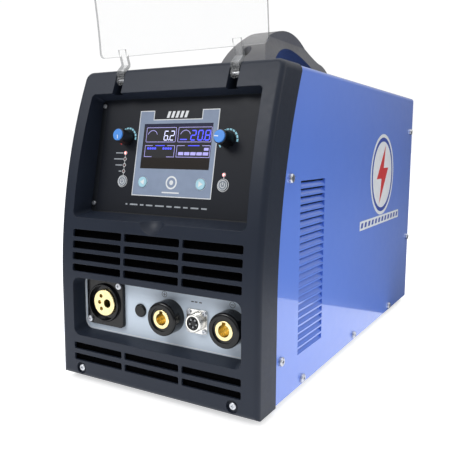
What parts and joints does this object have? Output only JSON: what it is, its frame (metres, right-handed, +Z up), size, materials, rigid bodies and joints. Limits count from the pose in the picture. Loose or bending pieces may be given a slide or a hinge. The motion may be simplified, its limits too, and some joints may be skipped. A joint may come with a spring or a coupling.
{
  "type": "mig welding machine",
  "caption": "Portable inverter MIG welder: blue sheet-steel case with side louvres, dark moulded front with display, knobs and output sockets, clear flap, carrying handle.",
  "frame": {"origin": "middle of the footprint, on the floor under the feet", "axes": "+X to the machine's right-hand side as seen from the front, +Y to the rear, +Z up; the sockets and the display face -Y"},
  "size_m": [0.2668, 0.612, 0.5113],
  "materials": {
    "bezel_plastic": "fine-grained moulded plastic, semi-matte dark slate",
    "blue_paint": "smooth powder coat, semi-gloss",
    "clear_sheet": "clear polycarbonate, polished edges",
    "panel_plastic": "satin moulded plastic",
    "panel_film": "fine-textured printed film",
    "screen": "glossy dark display window",
    "lens": "clear-coated lamp lens",
    "knob_black": "fluted satin black plastic",
    "cap_blue": "smooth coloured plastic",
    "key_cyan": "smooth translucent-looking plastic key",
    "key_grey": "satin grey plastic key",
    "circuit_board": "lacquered circuit board",
    "plate_paint": "pale satin paint",
    "black_plastic": "satin black moulded plastic",
    "brass": "turned brass, lightly tarnished",
    "nickel": "bright nickel plate",
    "zinc_screw": "zinc-plated steel",
    "steel": "bright steel",
    "grey_paint": "satin grey paint",
    "foot_rubber": "moulded rubber",
    "handle_plastic": "fine-grained moulded plastic",
    "fan_black": "satin black plastic",
    "aluminium": "extruded aluminium",
    "iron_core": "varnished core and winding",
    "hub_grey": "ribbed grey nylon"
  },
  "bodies": {
    "housing": {"front_bezel": "bezel_plastic", "flap_pins": "steel", "control_panel": "panel_plastic", "panel_overlay": "panel_film", "display_screen": "screen", "indicator_lenses": "lens", "control_board": "circuit_board", "connector_plate": "plate_paint", "euro_flange": "black_plastic", "euro_socket": "brass", "blanking_plug": "black_plastic", "socket_bodies": "black_plastic", "socket_contacts": "brass", "control_socket_shell": "nickel", "control_socket_insert": "black_plastic", "small_screws": "zinc_screw", "front_screws": "zinc_screw", "case_screws": "zinc_screw", "handle_screws": "zinc_screw", "case_cover": "blue_paint", "hinge_case_leaves": "steel", "hinge_pins": "steel", "base_pan": "grey_paint", "feet": "foot_rubber", "rear_panel": "grey_paint", "centre_partition": "grey_paint", "fan_frame": "fan_black", "fan_guard": "nickel", "power_switch_body": "black_plastic", "mains_gland": "black_plastic", "gas_inlet": "brass", "gas_valve": "brass", "carry_handle": "handle_plastic", "spool_spindle": "black_plastic", "feeder_plate": "aluminium", "feed_motor": "grey_paint", "heatsink": "aluminium", "power_board": "circuit_board", "transformer": "iron_core", "output_choke": "iron_core"},
    "flap": {"clear_flap": "clear_sheet"},
    "left_knob_body": {"left_knob": "knob_black", "left_knob_cap": "cap_blue"},
    "right_knob_body": {"right_knob": "knob_black", "right_knob_cap": "cap_blue"},
    "mode_key_body": {"mode_key": "key_grey"},
    "function_key_body": {"function_key": "key_grey"},
    "left_arrow_body": {"left_arrow_key": "key_cyan"},
    "right_arrow_body": {"right_arrow_key": "key_cyan"},
    "door": {"side_door": "blue_paint", "hinge_door_leaves": "steel"},
    "front_latch_body": {"front_latch": "nickel"},
    "rear_latch_body": {"rear_latch": "nickel"},
    "fan_rotor_body": {"fan_rotor": "fan_black"},
    "switch_lever": {"power_switch_lever": "black_plastic"},
    "hub": {"spool_hub": "hub_grey"},
    "drive_roll_body": {"drive_roll": "steel"},
    "pressure_arm_body": {"pressure_arm": "aluminium"},
    "pressure_roll_body": {"pressure_roll": "steel"},
    "tension_body": {"tension_knob": "black_plastic"}
  },
  "joints": [
    {"name": "flap_hinge", "type": "hinge", "parent": "housing", "child": "flap", "pos_m": [0, -0.2535, 0.351], "axis": [1, 0, 0], "range_deg": [0, 156]},
    {"name": "left_knob_turn", "type": "hinge", "parent": "housing", "child": "left_knob_body", "pos_m": [-0.067, -0.25654, 0.28558], "axis": [0, -0.9792, 0.2028], "range_deg": [-150, 150]},
    {"name": "right_knob_turn", "type": "hinge", "parent": "housing", "child": "right_knob_body", "pos_m": [0.0675, -0.25705, 0.28313], "axis": [0, -0.9792, 0.2028], "range_deg": [-150, 150]},
    {"name": "mode_key_press", "type": "slide", "parent": "housing", "child": "mode_key_body", "axis": [0, 0.9792, -0.2028], "range_m": [0, 0.0008], "stiffness_N_per_m": 400},
    {"name": "function_key_press", "type": "slide", "parent": "housing", "child": "function_key_body", "axis": [0, 0.9792, -0.2028], "range_m": [0, 0.0008], "stiffness_N_per_m": 400},
    {"name": "left_arrow_press", "type": "slide", "parent": "housing", "child": "left_arrow_body", "axis": [0, 0.9792, -0.2028], "range_m": [0, 0.0008], "stiffness_N_per_m": 400},
    {"name": "right_arrow_press", "type": "slide", "parent": "housing", "child": "right_arrow_body", "axis": [0, 0.9792, -0.2028], "range_m": [0, 0.0008], "stiffness_N_per_m": 400},
    {"name": "side_door_hinge", "type": "hinge", "parent": "housing", "child": "door", "pos_m": [-0.1318, 0.019, 0.334], "axis": [0, 1, 0], "range_deg": [0, 105]},
    {"name": "front_latch_turn", "type": "hinge", "parent": "door", "child": "front_latch_body", "pos_m": [-0.13, -0.106, 0.053], "axis": [-1, 0, 0], "range_deg": [0, 90]},
    {"name": "rear_latch_turn", "type": "hinge", "parent": "door", "child": "rear_latch_body", "pos_m": [-0.13, 0.144, 0.053], "axis": [-1, 0, 0], "range_deg": [0, 90]},
    {"name": "fan_spin", "type": "hinge", "parent": "housing", "child": "fan_rotor_body", "pos_m": [0.056, 0.2575, 0.216], "axis": [0, 1, 0], "continuous": true},
    {"name": "power_switch", "type": "hinge", "parent": "housing", "child": "switch_lever", "pos_m": [0.056, 0.276, 0.322], "axis": [1, 0, 0], "range_deg": [0, 50]},
    {"name": "spool_spin", "type": "hinge", "parent": "housing", "child": "hub", "pos_m": [-0.06, 0.099, 0.18], "axis": [1, 0, 0], "continuous": true},
    {"name": "drive_roll_spin", "type": "hinge", "parent": "housing", "child": "drive_roll_body", "pos_m": [-0.0748, -0.136, 0.0795], "axis": [1, 0, 0], "continuous": true},
    {"name": "pressure_arm_swing", "type": "hinge", "parent": "housing", "child": "pressure_arm_body", "pos_m": [-0.0748, -0.168, 0.122], "axis": [1, 0, 0], "range_deg": [0, 60]},
    {"name": "pressure_roll_spin", "type": "hinge", "parent": "pressure_arm_body", "child": "pressure_roll_body", "pos_m": [-0.0748, -0.136, 0.1105], "axis": [1, 0, 0], "continuous": true},
    {"name": "tension_swing", "type": "hinge", "parent": "housing", "child": "tension_body", "pos_m": [-0.0748, -0.092, 0.098], "axis": [1, 0, 0], "range_deg": [0, 35]}
  ]
}
